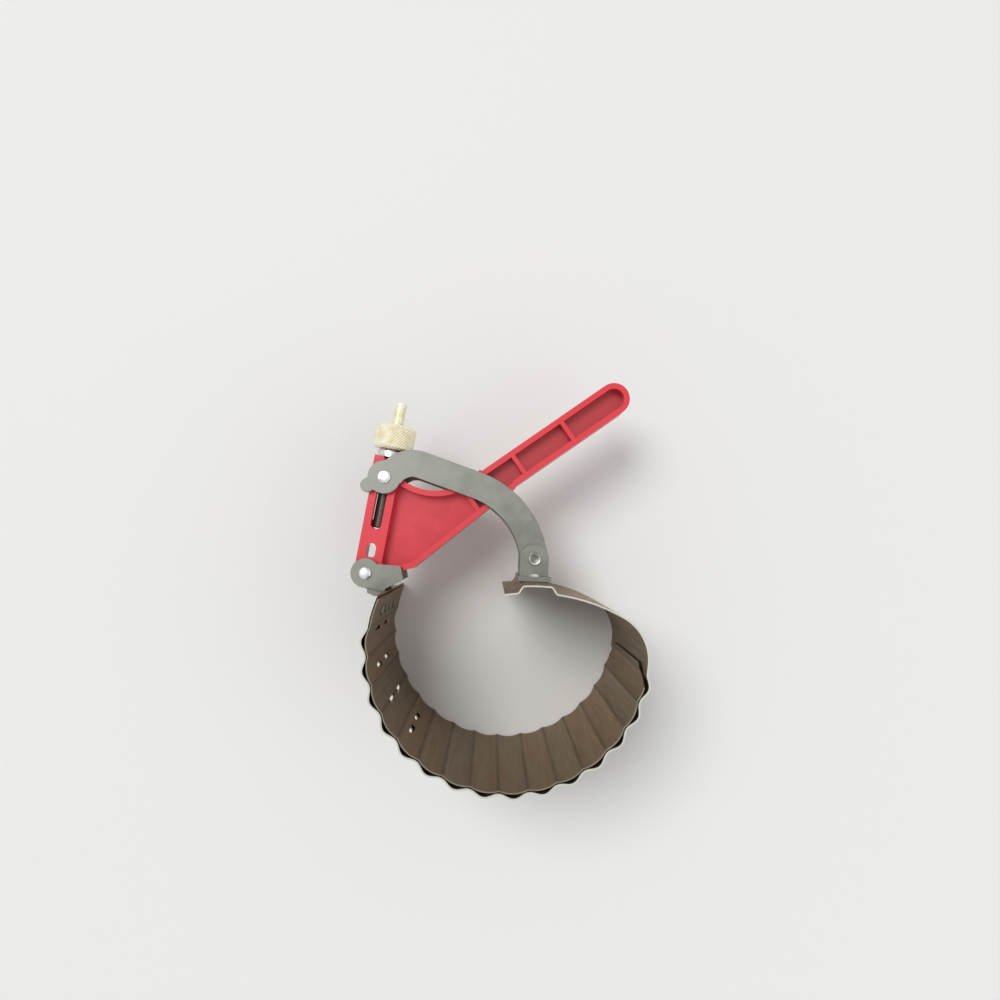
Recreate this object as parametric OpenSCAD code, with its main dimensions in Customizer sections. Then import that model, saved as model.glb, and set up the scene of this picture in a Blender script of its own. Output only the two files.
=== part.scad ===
// Piston ring compressor: a ridged spring-steel band, drawn shut by an over-centre lever.
// The ring's axis is vertical and the band stands on its lower edge. Millimetres, +Z up.

/* [Band] */
// height of the band along the ring's axis
band_h = 80; // [60:1:100]
// mean radius of the round part of the band, with the lever open
ring_r = 52; // [44:0.5:60]
// thickness of the spring steel
band_t = 0.6; // [0.4:0.05:1]
// how far each ridge is pressed outwards
ridge_h = 1.8; // [0.8:0.1:2.6]
// distance from ridge to ridge along the band
ridge_pitch = 11; // [8:0.5:16]
// angle on the ring where the band's fixed end starts
band_start_a = 156.5; // [155:0.5:158]
// angle on the ring where the free end turns inwards
band_turn_a = 355; // [345:1:360]
// radius of the bend that leads to the free end
bend_r = 18; // [13:0.5:22]
// direction in which the free end leaves the bend
tail_dir = 150; // [146:1:156]
// radius of the gently curved free end
tail_r = 68; // [56:1:90]
// length of the free end
tail_len = 45.2; // [40:0.2:50]
// how far the seat of the end bracket is pressed out of the free end
seat_h = 2.5; // [1.5:0.1:3.5]
// gap between the two halves of the band at the line about which it flexes
flex_gap = 0.4; // [0.2:0.1:1]

/* [Slotted strip] */
// length of the inner strip, along the band
strip_len = 178; // [150:0.5:179]
// thickness of the inner strip
strip_t = 0.5; // [0.3:0.05:0.8]
// gap between the strip and the band
strip_gap = 0.3; // [0.2:0.05:0.6]
// how far the strip is pressed out between the band's valleys
strip_ridge = 0.9; // [0:0.1:1]
// width and length of a size slot
slot_size = [2.2, 13]; // [1:0.1:20]
// distance between the two slots of a pair, centre to centre
slot_pair = 21; // [16:0.5:26]
// distance from pair to pair along the strip
slot_pitch = 15; // [11:0.5:20]
// number of slot pairs
slot_count = 4; // [2:1:5]

/* [Lever] */
// thickness of the moulded lever
lever_t = 13; // [11:0.5:16]
// thickness of the rim round the recesses
rim_t = 2.3; // [1.6:0.1:2.8]
// thickness of the web between the front and rear recesses
web_t = 3; // [2:0.25:5]
// width of the bar that holds the adjusting screw
bar_w = 10.6; // [10.4:0.2:14]
// width of the boss at the top of the bar
boss_w = 11.8; // [11:0.2:14]
// direction of the bar from the pivot, from the +X axis
bar_dir = 79; // [74:0.5:84]
// distance from the cross pin to the top of the bar
bar_over = 8.6; // [7.5:0.1:11]
// direction of the handle
handle_dir = 34.6; // [30:0.2:40]
// distance from the pivot to the centre of the handle's tip
handle_reach = 124.6; // [105:0.2:140]
// angle of the handle's tip as seen from the pivot
tip_dir = 35.1; // [33:0.1:37]
// width of the handle
handle_w = 13; // [10:0.25:16]
// thickness of the cross ribs in the handle
rib_t = 1.8; // [1.2:0.1:3]
// distance from rib to rib
rib_pitch = 24.4; // [18:0.2:30]
// distance from the tip back to the first rib
rib_first = 23.2; // [16:0.2:30]
// number of cross ribs
rib_count = 3; // [1:1:4]
// radius of the saddle between the bar and the handle
saddle_r = 23.2; // [20:0.2:26]

/* [Adjuster] */
// diameter of the adjusting screw
screw_d = 5; // [4:0.5:5.5]
// distance from the pivot to the cross pin
crank_r = 40; // [38.5:0.5:41]
// travel of the cross pin in its slot
adjust_travel = 12.5; // [8:0.5:13]
// diameter of the cross pin
pin_d = 4; // [3:0.25:4.5]
// diameter of the barrel on the screw's lower end
barrel_d = 7.4; // [7:0.1:7.8]
// diameter of the knurled nut
nut_d = 16.8; // [12:0.2:20]
// height of the knurled nut
nut_h = 10.4; // [7:0.2:12]
// height of the collar under the nut
collar_h = 3.4; // [2.5:0.1:4]
// length of the plain rod below the cross pin
rod_len = 21; // [12:0.5:21]
// length of screw standing out of the nut
screw_out = 9.8; // [5:0.2:12]

/* [Arm] */
// thickness of an arm plate
plate_t = 2; // [1.5:0.1:3]
// width of an arm plate
arm_w = 11; // [9:0.25:12]
// gap between an arm plate and the lever
arm_gap = 0.5; // [0.3:0.1:1]
// radius of the hump that clears the lever's pivot
hump_r = 11; // [9.5:0.25:13]
// radius of the elbow above the end bracket
elbow_r = 36; // [30:0.5:40]
// direction of the straight part of the arm
arm_dir = -20; // [-24:1:-16]
// radius of the nose round the cross pin
nose_r = 6.8; // [6:0.2:8]

/* [Brackets] */
// distance from the ring's centre to the lever's pivot
pivot_r = 63.5; // [61:0.5:68]
// angle of the lever's pivot on the ring
pivot_a = 154.2; // [152:0.2:157]
// thickness of the bracket steel
bracket_t = 2; // [1.5:0.1:2.6]
// radius of the lever bracket's ears
ear_r = 6; // [5:0.25:7]
// radius of the end bracket's ears
end_ear_r = 5.8; // [5:0.2:6.6]
// height of the lever bracket's tab along the ring's axis
base_h = 50; // [40:1:60]
// direction of the lever bracket's flared plate
flare_dir = -9.4; // [-14:0.2:-5]
// thickness of the lever bracket's tab against the band
tab_t = 1.2; // [1:0.1:2]
// height of the end bracket's base along the ring's axis
end_base_h = 36; // [28:1:56]
// place of the end pivot, from the ring's centre
end_x = 11.4; // [9:0.2:14]
// height of the end pivot above the seat on the free end
end_rise = 9.3; // [8.4:0.1:12]

/* [Rivets] */
// diameter of the pivot rivets
rivet_d = 3.5; // [3:0.1:4]
// diameter of a pivot rivet's head
rivet_head_d = 5.2; // [4.6:0.1:6]
// height of a rivet head
head_h = 1.2; // [0.8:0.1:2]
// diameter of the rivets that hold the brackets to the band
tack_d = 2.6; // [2:0.1:3.2]
// radial clearance of a running fit
run_gap = 0.05; // [0.02:0.01:0.1]
// gap between faces that move past each other
side_gap = 0.3; // [0.2:0.05:0.5]

/* [Hidden] */
$fn = 64;
deg = PI / 180;
step_mm = ridge_pitch / 10;
mid_z = band_h / 2;

// band path, measured along its middle from the fixed end
arc_len = ring_r * (band_turn_a - band_start_a) * deg;
bend_a = tail_dir - 90 - (band_turn_a - 360);
bend_len = bend_r * bend_a * deg;
path_len = arc_len + bend_len + tail_len;
bend_c = [(ring_r - bend_r) * cos(band_turn_a), (ring_r - bend_r) * sin(band_turn_a)];
tail_c = bend_c + (bend_r - tail_r) * [cos(tail_dir - 90), sin(tail_dir - 90)];
tail_from = arc_len + bend_len;
ridge_from = 12;
ridge_n = floor((arc_len + bend_len * 0.3 - ridge_from) / ridge_pitch);
ridge_to = ridge_from + ridge_n * ridge_pitch;
flex_ridge = round((arc_len * 0.575 - ridge_from) / ridge_pitch);
flex_s = ridge_from + flex_ridge * ridge_pitch;
strip_from = 1;
strip_to = strip_from + strip_len;
strip_in = band_t / 2 + strip_gap + strip_t / 2;
tongue = [7, 12];

function on_arc(s) = s <= arc_len;
function on_bend(s) = s <= arc_len + bend_len;
function arc_at(s) = band_start_a + s / ring_r / deg;
function bend_at(s) = band_turn_a - 360 + (s - arc_len) / bend_r / deg;
function tail_at(s) = tail_dir - 90 + (s - tail_from) / tail_r / deg;
function out_dir(s) = on_arc(s) ? arc_at(s) : on_bend(s) ? bend_at(s) : tail_at(s);
function mid_at(s) = on_arc(s) ? ring_r * dir(arc_at(s))
    : on_bend(s) ? bend_c + bend_r * dir(bend_at(s))
    : tail_c + tail_r * dir(tail_at(s));
function ridge_at(s) = s > tail_from ? seat_at(abs(s - seat_s))
    : s < ridge_from || s > ridge_to ? 0
    : ridge_h * pow(sin(180 * (s - ridge_from) / ridge_pitch), 2);
function seat_at(away) = away > seat_half + seat_ramp ? 0 : away < seat_half ? seat_h
    : seat_h * pow(cos(90 * (away - seat_half) / seat_ramp), 2);
function off_at(s, off) = mid_at(s) + (ridge_at(s) + off) * dir(out_dir(s));
function dir(a) = [cos(a), sin(a)];
function left_of(v) = [-v.y, v.x];
function along(from, to) = [for (i = [0 : ceil((to - from) / step_mm)]) min(from + i * step_mm, to)];
function back(list) = [for (i = [len(list) - 1 : -1 : 0]) list[i]];
function strip_rise(s) = s < ridge_from || s > ridge_to ? 0
    : let (t = (s - ridge_from) / ridge_pitch, f = t - floor(t)) strip_ridge * 4 * f * (1 - f);
function strip_at(s, off) = mid_at(s) + (strip_rise(s) + off) * dir(out_dir(s));
function strip_wall(from, to, low, high) = concat(
    [for (s = along(from, to)) strip_at(s, high)],
    [for (s = back(along(from, to))) strip_at(s, low)]);
function wall(from, to, low, high) = concat(
    [for (s = along(from, to)) off_at(s, high)],
    [for (s = back(along(from, to))) off_at(s, low)]);

// pivots
pivot = pivot_r * dir(pivot_a);
seat_out = acos((end_x - tail_c.x) / (tail_r + seat_h));
seat_s = tail_from + (seat_out - tail_dir + 90) * deg * tail_r;
seat_half = 4.8;
seat_ramp = 2.6;
tail_mid = tail_c + (tail_r + seat_h) * dir(seat_out);
end_pivot = tail_mid + end_rise * dir(seat_out);
bar_u = dir(bar_dir);
crank = pivot + crank_r * bar_u;
tip = handle_reach * dir(tip_dir);

// levels either side of the middle height
lever_face = lever_t / 2;
plate_in = lever_face + arm_gap;
plate_out = plate_in + plate_t;
washer_t = 0.8;
washer_in = lever_face + 0.1;
ear_in = washer_in + washer_t + 0.1;
ear_out = ear_in + bracket_t;
end_ear_in = plate_out + side_gap;
end_ear_out = end_ear_in + bracket_t;

// lever, in its own frame with the pivot at the origin
hub_r = 5.2;
hub_gap = 0.4;
bar_top = crank_r + bar_over;
boss_len = 12;
bar_neck = 8;
handle_len = 82;
web_top = 6;
web_bar_u = 39;
slot_gap = 0.2;
slot_w = pin_d + slot_gap * 2;
slot_spare = 6.9;
slot_low = crank_r - adjust_travel - slot_w / 2 - slot_spare;
window = [3.9, 6.2];
window_u = 9.4;
channel_gap = 0.3;
channel_w = barrel_d + channel_gap * 2;
barrel_l = 10;
barrel_end = 0.4;
channel_top = crank_r + barrel_l / 2 + barrel_end;
channel_low = crank_r - adjust_travel - barrel_l / 2 - barrel_end;
shank_w = screw_d + channel_gap * 2;
rod_low = crank_r - rod_len;
rod_end = rod_low - adjust_travel - barrel_end;
hub_edge = [5.8, -1.2];
flank = [19.3, 2];
flank_end = [61.6, 35.4];
saddle_c = [28.5, 57];
saddle_end = [46.4, 42.6];
recess_h = (lever_t - web_t) / 2;
nut_u = bar_top + collar_h + 0.1;
screw_top = nut_u + nut_h + screw_out;
bush_r = 3;

// arm path
arm_straight = 24;
overlap = 0.2;
elbow_turn = 6;
elbow_end = end_pivot;
elbow_c = elbow_end - elbow_r * dir(elbow_turn);
elbow_start = elbow_c + elbow_r * dir(arm_dir + 90);
hump_end = elbow_start - arm_straight * dir(arm_dir);
hump_c = hump_end - hump_r * dir(arm_dir + 90);
hump_from = 150;
lobe = crank + [-6.9, -3.3];
lobe_r = 2.9;

// brackets
band_out = ring_r + band_t / 2;
tab_gap = 0.03;
base_in = band_out + tab_gap;
tab_a = [157, 169];
tack_a = 165;
flare_top = -hub_r - hub_gap;
flare_left = 2;
flare_h = [10, base_h / 2];
flare_c = [-pivot.x * cos(flare_dir) - pivot.y * sin(flare_dir),
    pivot.x * sin(flare_dir) - pivot.y * cos(flare_dir)];
flare_reach = base_in + 0.3;
cheek = [[3.9, 4.4], [13.7, 5.2], [15.6, 0], [9.1, -4.9]];
flare_mid = flare_top - bracket_t / 2;
flare_right = min(flare_end(flare_top), flare_end(flare_top - bracket_t));
end_base_w = 13;
end_base_in = band_t / 2 + run_gap;
tack_head_d = tack_d * 1.7;
tack_head_h = 0.9;
tack_seat_h = 0.5;
tack_hole_l = 12;
tack_in = 8;
end_tack_in = 4;
tack_gap = 0.03;
strip_r = ring_r - strip_in - strip_t / 2;
lever_tack_z = base_h / 2 - tack_in;
end_tack_z = end_base_h / 2 - end_tack_in;
tack_low = sqrt(pow(strip_r, 2) - pow(tack_head_d / 2, 2)) - base_in - tack_gap;

// where a line at height y in the flared plate's frame comes to the band
function flare_end(y) = flare_c.x - sqrt(pow(flare_reach, 2) - pow(y - flare_c.y, 2));

// shift that puts the middle of the whole part's box on the Z axis
x_low = pivot.x - ear_r;
band_edge = [for (s = along(0, path_len)) off_at(s, band_t / 2)];
x_high = max([for (p = band_edge) p.x]);
y_low = min([for (p = band_edge) p.y]);
y_high = pivot.y + tip.y + handle_w / 2;
origin = [-(x_low + x_high) / 2, -(y_low + y_high) / 2, 0];

spring_steel = [0.36, 0.33, 0.31];
zinc = [0.66, 0.69, 0.66];
bright = [0.82, 0.83, 0.82];
yellow_zinc = [0.80, 0.74, 0.56];
red = [0.80, 0.16, 0.19];

module placed() {
    translate(origin) children();
}

// moves to a level either side of the middle height and extrudes a plan there
module plate(low, high) {
    translate([0, 0, mid_z + low]) linear_extrude(high - low) children();
}

module disc(at, r) {
    translate(at) circle(r);
}

// part of a ring from angle a1 to a2, width w about radius r
module ring_part(c, r, w, a1, a2) {
    far = (r + w) * 2;
    mid = (a1 + a2) / 2;
    translate(c) intersection() {
        difference() {
            circle(r + w / 2);
            circle(r - w / 2);
        }
        polygon([[0, 0], far * dir(a1), far * dir(mid), far * dir(a2)]);
    }
}

// a straight bar of width w from p1 to p2
module strap(p1, p2, w) {
    side = left_of(p2 - p1) / norm(p2 - p1) * w / 2;
    polygon([p1 + side, p1 - side, p2 - side, p2 + side]);
}

// a rivet along Z through a stack from low to high, with a low domed head at each end
module rivet(at, low, high, d, head_d, h) {
    translate([at.x, at.y, mid_z]) rotate_extrude() polygon(concat(
        [[0, low - h]], back(head_points(low, head_d, h, -1)),
        [[d / 2, low], [d / 2, high]], head_points(high, head_d, h, 1), [[0, high + h]]));
}

// half profile of a domed head that starts at z
function head_points(z, d, h, up) = [[d / 2, z], [d / 2, z + up * h * 0.45], [d * 0.36, z + up * h * 0.85]];

// places of a bracket's tacks, each with Z pointing out of the band
module lever_tacks() {
    for (share = [-1, -1 / 3, 1 / 3, 1]) translate([0, 0, mid_z + share * lever_tack_z])
        rotate(tack_a) translate([base_in, 0, 0]) rotate([0, 90, 0]) children();
}

module lever_tack_holes() {
    lever_tacks() cylinder(d = tack_d, h = tack_hole_l, center = true);
}

module end_tacks() {
    translate([tail_mid.x, tail_mid.y, mid_z]) rotate(seat_out)
        for (z = [-end_tack_z, end_tack_z]) translate([0, 0, z]) rotate([0, 90, 0]) children();
}

// one pair of size slots at s along the strip
module slot_pair_at(s) {
    p = off_at(s, -strip_in);
    translate([p.x, p.y, mid_z]) rotate(out_dir(s))
        for (z = [-slot_pair / 2, slot_pair / 2])
            translate([0, 0, z]) cube([6, slot_size.x, slot_size.y], true);
}

module band_fixed_half() {
    color(spring_steel) placed() difference() {
        linear_extrude(band_h) polygon(wall(0, flex_s - flex_gap / 2, -band_t / 2, band_t / 2));
        size_slots();
        lever_tack_holes();
    }
}

module band_free_half() {
    color(spring_steel) placed() difference() {
        linear_extrude(band_h) polygon(wall(flex_s + flex_gap / 2, path_len, -band_t / 2, band_t / 2));
        end_tacks() cylinder(d = tack_d + run_gap * 2, h = tack_hole_l, center = true);
    }
}

module size_slots() {
    for (i = [0 : slot_count - 1]) slot_pair_at(ridge_from + 3.5 + i * slot_pitch);
}

// part of the inner strip, a row of shallow panels that are creased at the band's valleys
module strip_between(from, to) {
    translate([0, 0, 1]) linear_extrude(band_h - 2)
        polygon(strip_wall(from, to, -strip_in - strip_t / 2, -strip_in + strip_t / 2));
}

module slotted_strip() {
    color(spring_steel) placed() difference() {
        strip_between(strip_from, flex_s - flex_gap / 2);
        size_slots();
        lever_tack_holes();
    }
}

module strip_tongue() {
    color(spring_steel) placed() difference() {
        strip_between(flex_s + flex_gap / 2, strip_to);
        strip_tongue_cut();
        mirror_mid() strip_tongue_cut();
    }
}

module mirror_mid() {
    translate([0, 0, band_h]) mirror([0, 0, 1]) children();
}

// trims a corner off the strip's free end, so that it ends in a tapered tongue
module strip_tongue_cut() {
    p = mid_at(strip_to);
    translate([p.x, p.y, 0]) rotate(out_dir(strip_to)) rotate([90, 0, -90])
        linear_extrude(tongue.x, center = true) polygon([[-1, -1], [-1, tongue.y], [tongue.x, -1]]);
}

module lever_bracket() {
    color(zinc) placed() difference() {
        union() {
            translate([0, 0, mid_z]) linear_extrude(base_h, center = true)
                ring_part([0, 0], base_in + tab_t / 2, tab_t, tab_a[0], tab_a[1]);
            translate([pivot.x, pivot.y, mid_z]) rotate(flare_dir) {
                translate([0, flare_top, 0]) rotate([90, 0, 0]) linear_extrude(bracket_t)
                    polygon([[flare_left, -flare_h[0]], [flare_right, -flare_h[1]],
                        [flare_right, flare_h[1]], [flare_left, flare_h[0]]]);
                for (side = [-1, 1]) translate([0, 0, side * (ear_in + bracket_t / 2)])
                    linear_extrude(bracket_t, center = true) ear_plan();
            }
        }
        translate([pivot.x, pivot.y, mid_z]) cylinder(d = rivet_d, h = ear_out * 3, center = true);
        lever_tack_holes();
    }
}

// plan of a lever bracket ear and its cheek, with the pivot at the origin and the flared plate below it
module ear_plan() {
    circle(ear_r);
    polygon([ear_r * [-0.7, -0.7], [flare_left + 0.4, flare_mid], [flare_right - 0.4, flare_mid],
        cheek[3], cheek[2], cheek[1], cheek[0]]);
}

// a small rivet, with a formed head outside and a flat one inside the ring
module tack(low, high) {
    rotate_extrude() polygon([[0, low - tack_seat_h], [tack_head_d * 0.4, low - tack_seat_h],
        [tack_head_d / 2, low], [tack_d / 2, low], [tack_d / 2, high], [tack_head_d / 2, high],
        [tack_head_d * 0.34, high + tack_head_h], [0, high + tack_head_h]]);
}

module lever_bracket_tacks() {
    color(bright) placed() lever_tacks() tack(tack_low, tab_t);
}

module pivot_rivet() {
    color(bright) placed() rivet(pivot, -ear_out, ear_out, rivet_d, rivet_head_d, head_h);
}

module pivot_washers() {
    color(bright) placed() for (side = [-1, 1])
        plate_at(side * (washer_in + washer_t / 2), washer_t) difference() {
            disc(pivot, bush_r + 1.5);
            disc(pivot, rivet_d / 2 + run_gap);
        }
}

module plate_at(z, t) {
    translate([0, 0, mid_z + z]) linear_extrude(t, center = true) children();
}

// plan of the lever about its pivot, grown by g
module lever_plan(g) {
    difference() {
        union() {
            circle(hub_r + g);
            rotate(bar_dir - 90) {
                translate([-bar_w / 2 - g, 0]) square([bar_w + g * 2, bar_top - bar_neck + g]);
                translate([-boss_w / 2 - g, bar_top - boss_len]) square([boss_w + g * 2, boss_len + g]);
            }
            strap(tip - handle_len * dir(handle_dir), tip, handle_w + g * 2);
            disc(tip, handle_w / 2 + g);
            polygon(web_points(g));
        }
        disc(saddle_c, saddle_r - g);
    }
}

// outline of the web between bar and handle, each edge moved out by g
function web_points(g) = let (
    low = left_of(flank_end - flank) / norm(flank_end - flank) * -g,
    root = left_of(flank - hub_edge) / norm(flank - hub_edge) * -g)
    [[0, 0], hub_edge + root, flank + (root + low) / 2, flank_end + low, saddle_end + [g, g],
    [saddle_c.x, saddle_c.y - saddle_r + web_top], bar_u * web_bar_u + [web_top + g, g]];

// everything right of the bar, where the lever is recessed
module recess_plan() {
    difference() {
        lever_plan(-rim_t);
        rotate(bar_dir - 90) translate([-bar_w, -hub_r * 2]) square([bar_w * 1.5, bar_top * 2]);
        circle(hub_r + rim_t);
        for (i = [0 : rib_count - 1]) {
            at = tip - (rib_first + i * rib_pitch) * dir(handle_dir);
            strap(at - handle_w * dir(handle_dir + 90), at + handle_w * dir(handle_dir + 90), rib_t);
        }
    }
}

module lever() {
    color(red) placed() translate([pivot.x, pivot.y, mid_z]) difference() {
        linear_extrude(lever_t, center = true) lever_plan(0);
        for (side = [-1, 1]) translate([0, 0, side * (lever_t - recess_h) / 2])
            linear_extrude(recess_h, center = true) recess_plan();
        cylinder(r = bush_r, h = lever_t * 2, center = true);
        rotate(bar_dir - 90) {
            screw_channel();
            slot_cut(slot_low, crank_r + slot_w / 2, slot_w);
            slot_cut(window_u - window.y / 2, window_u + window.y / 2, window.x);
        }
    }
}

// round-ended slot through the bar, from u1 to u2
module slot_cut(u1, u2, w) {
    linear_extrude(lever_t * 2, center = true) {
        translate([-w / 2, u1 + w / 2]) square([w, u2 - u1 - w]);
        translate([0, u1 + w / 2]) circle(w / 2);
        translate([0, u2 - w / 2]) circle(w / 2);
    }
}

// channel for the screw and its barrel, open at the rear of the bar
module screw_channel() {
    translate([0, channel_low, 0]) rotate([-90, 0, 0]) cylinder(d = channel_w, h = channel_top - channel_low);
    translate([-channel_w / 2, channel_low, -lever_t]) cube([channel_w, channel_top - channel_low, lever_t]);
    translate([0, rod_end, 0]) rotate([-90, 0, 0]) cylinder(d = shank_w, h = bar_top * 2);
    translate([-shank_w / 2, rod_end, -lever_t]) cube([shank_w, bar_top * 2, lever_t]);
}

module pivot_bush() {
    color(bright) placed() plate(-lever_face, lever_face) difference() {
        disc(pivot, bush_r);
        disc(pivot, rivet_d / 2 + run_gap);
    }
}

// moves to the screw's axis, with Z along it from the pivot
module on_screw() {
    translate([pivot.x, pivot.y, mid_z]) rotate(bar_dir - 90) rotate([-90, 0, 0]) children();
}

module adjusting_screw() {
    color(yellow_zinc) placed() difference() {
        on_screw() rotate_extrude() polygon([
            [0, rod_low], [screw_d / 2 - 0.6, rod_low], [screw_d / 2, rod_low + 0.6],
            [screw_d / 2, crank_r - barrel_l / 2], [barrel_d / 2 - 0.6, crank_r - barrel_l / 2],
            [barrel_d / 2, crank_r - barrel_l / 2 + 0.6], [barrel_d / 2, crank_r + barrel_l / 2 - 0.6],
            [barrel_d / 2 - 0.6, crank_r + barrel_l / 2], [screw_d / 2, crank_r + barrel_l / 2],
            [screw_d / 2, screw_top - 0.6], [screw_d / 2 - 0.6, screw_top], [0, screw_top]]);
        translate([crank.x, crank.y, mid_z]) cylinder(d = pin_d, h = lever_t * 2, center = true);
    }
}

module cross_pin() {
    color(bright) placed() rivet(crank, -plate_out - 0.2, plate_out + 0.2, pin_d, pin_d * 1.35, 0.7);
}

module knurled_nut() {
    color(yellow_zinc) placed() on_screw() translate([0, 0, nut_u]) rotate_extrude()
        polygon([[screw_d / 2 + run_gap, 0], [nut_d / 2 - 1, 0], [nut_d / 2, 0.8], [nut_d / 2, nut_h - 1.2],
            [nut_d / 2 - 1.4, nut_h], [screw_d / 2 + run_gap, nut_h]]);
}

module thrust_collar() {
    color(bright) placed() on_screw() translate([0, 0, bar_top]) rotate_extrude()
        polygon([[screw_d / 2 + side_gap, 0], [boss_w / 2, 0], [boss_w / 2, collar_h - 0.8],
            [boss_w / 2 - 0.8, collar_h], [screw_d / 2 + side_gap, collar_h]]);
}

// curved plan of an arm plate, from the cross pin to the end pivot
module arm_plan() {
    difference() {
        union() {
            disc(crank, nose_r);
            disc(lobe, lobe_r);
            strap(lobe + [0.5, 0], crank + [0, 2], lobe_r * 2);
            ring_part(hump_c, hump_r, arm_w, arm_dir + 90, hump_from);
            strap(hump_end - overlap * dir(arm_dir), elbow_start + overlap * dir(arm_dir), arm_w);
            ring_part(elbow_c, elbow_r, arm_w, elbow_turn, arm_dir + 90);
            disc(end_pivot, arm_w / 2);
        }
        disc(crank, pin_d / 2 + run_gap);
        disc(end_pivot, rivet_d / 2 + run_gap);
    }
}

module front_arm_plate() {
    color(zinc) placed() plate(plate_in, plate_out) arm_plan();
}

module rear_arm_plate() {
    color(zinc) placed() plate(-plate_out, -plate_in) arm_plan();
}

module arm_spacer() {
    color(bright) placed() plate(-plate_in, plate_in) difference() {
        disc(end_pivot, rivet_d / 2 + 1.6);
        disc(end_pivot, rivet_d / 2 + run_gap);
    }
}

module end_bracket() {
    color(zinc) placed() difference() {
        translate([tail_mid.x, tail_mid.y, mid_z]) rotate(seat_out) {
            translate([end_base_in, -end_base_w / 2, -end_base_h / 2])
                cube([bracket_t, end_base_w, end_base_h]);
            for (side = [-1, 1]) translate([0, 0, side * (end_ear_in + bracket_t / 2)])
                linear_extrude(bracket_t, center = true) {
                    translate([end_base_in, -end_ear_r]) square([end_rise - end_base_in, end_ear_r * 2]);
                    disc([end_rise, 0], end_ear_r);
                }
        }
        translate([end_pivot.x, end_pivot.y, mid_z]) cylinder(d = rivet_d, h = end_ear_out * 3, center = true);
        end_tacks() cylinder(d = tack_d, h = tack_hole_l, center = true);
    }
}

module end_rivet() {
    color(bright) placed() rivet(end_pivot, -end_ear_out, end_ear_out, rivet_d, rivet_head_d, head_h);
}

module end_bracket_tacks() {
    color(bright) placed() end_tacks() tack(-end_base_in, end_base_in + bracket_t);
}

band_fixed_half();
band_free_half();
slotted_strip();
strip_tongue();
lever_bracket();
lever_bracket_tacks();
pivot_rivet();
pivot_washers();
lever();
pivot_bush();
adjusting_screw();
cross_pin();
knurled_nut();
thrust_collar();
front_arm_plate();
rear_arm_plate();
arm_spacer();
end_bracket();
end_rivet();
end_bracket_tacks();
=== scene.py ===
import math
import bpy
from mathutils import Matrix, Vector


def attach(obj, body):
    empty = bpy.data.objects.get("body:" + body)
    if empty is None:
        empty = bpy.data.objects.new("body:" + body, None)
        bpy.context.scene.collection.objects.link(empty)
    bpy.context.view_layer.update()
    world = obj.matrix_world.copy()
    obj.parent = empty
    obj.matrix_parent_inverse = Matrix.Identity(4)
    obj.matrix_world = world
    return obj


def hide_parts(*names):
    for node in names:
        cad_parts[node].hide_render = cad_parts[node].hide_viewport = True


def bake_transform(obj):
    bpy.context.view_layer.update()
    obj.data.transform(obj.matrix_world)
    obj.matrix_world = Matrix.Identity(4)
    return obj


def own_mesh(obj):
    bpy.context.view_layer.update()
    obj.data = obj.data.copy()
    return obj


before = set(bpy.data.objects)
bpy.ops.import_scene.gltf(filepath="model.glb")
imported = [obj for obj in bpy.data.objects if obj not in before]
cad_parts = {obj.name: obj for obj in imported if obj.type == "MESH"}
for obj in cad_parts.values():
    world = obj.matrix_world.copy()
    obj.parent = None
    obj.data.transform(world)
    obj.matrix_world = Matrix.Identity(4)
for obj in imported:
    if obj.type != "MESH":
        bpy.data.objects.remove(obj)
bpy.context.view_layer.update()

print("frame loaded:", len(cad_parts), "nodes")


def mm(value):
    return value / 1000.0


def turned(angle):
    return Vector((math.cos(math.radians(angle)), math.sin(math.radians(angle))))


# places and spacings shared by several pieces, in millimetres and degrees in the frame of the CAD
layout = {
    "ringCentre": (5.350, -25.876),
    "pivot": (-51.820, 1.761),
    "crank": (-44.188, 41.027),
    "endPivot": (17.084, 7.608),
    "midHeight": 40.0,
    "screwDirection": 79.0,
    "handleTip": (50.121, 73.407),
    "handleDirection": 34.6,
    "ridgeFrom": 12.0,
    "ridgePitch": 11.0,
    "ridgeCount": 15,
}


def hexToLinear(code):
    values = [int(code[i:i + 2], 16) / 255.0 for i in (1, 3, 5)]
    return [v / 12.92 if v <= 0.04045 else ((v + 0.055) / 1.055) ** 2.4 for v in values] + [1.0]


mixA, mixB, mixResult = 6, 7, 2  # the colour sockets of a Mix node


# adds a node with its settings and links; "stops" are the places and colours of a ramp
def addNode(tree, kind, settings=None, links=None):
    node = tree.nodes.new(kind)
    for key, value in (settings or {}).items():
        if key == "stops":
            elements = node.color_ramp.elements
            while len(elements) < len(value):
                elements.new(0.5)
            for element, (place, colour) in zip(elements, value):
                element.position = place
                element.color = hexToLinear(colour)
        elif isinstance(key, int) or key in node.inputs:
            node.inputs[key].default_value = value
        else:
            setattr(node, key, value)
    for key, source in (links or {}).items():
        tree.links.new(source, node.inputs[key])
    return node


def startMaterial(name):
    material = bpy.data.materials.new(name)
    material.use_nodes = True
    tree = material.node_tree
    tree.nodes.clear()
    coords = addNode(tree, "ShaderNodeTexCoord")
    return material, tree, coords.outputs["Object"]


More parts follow.
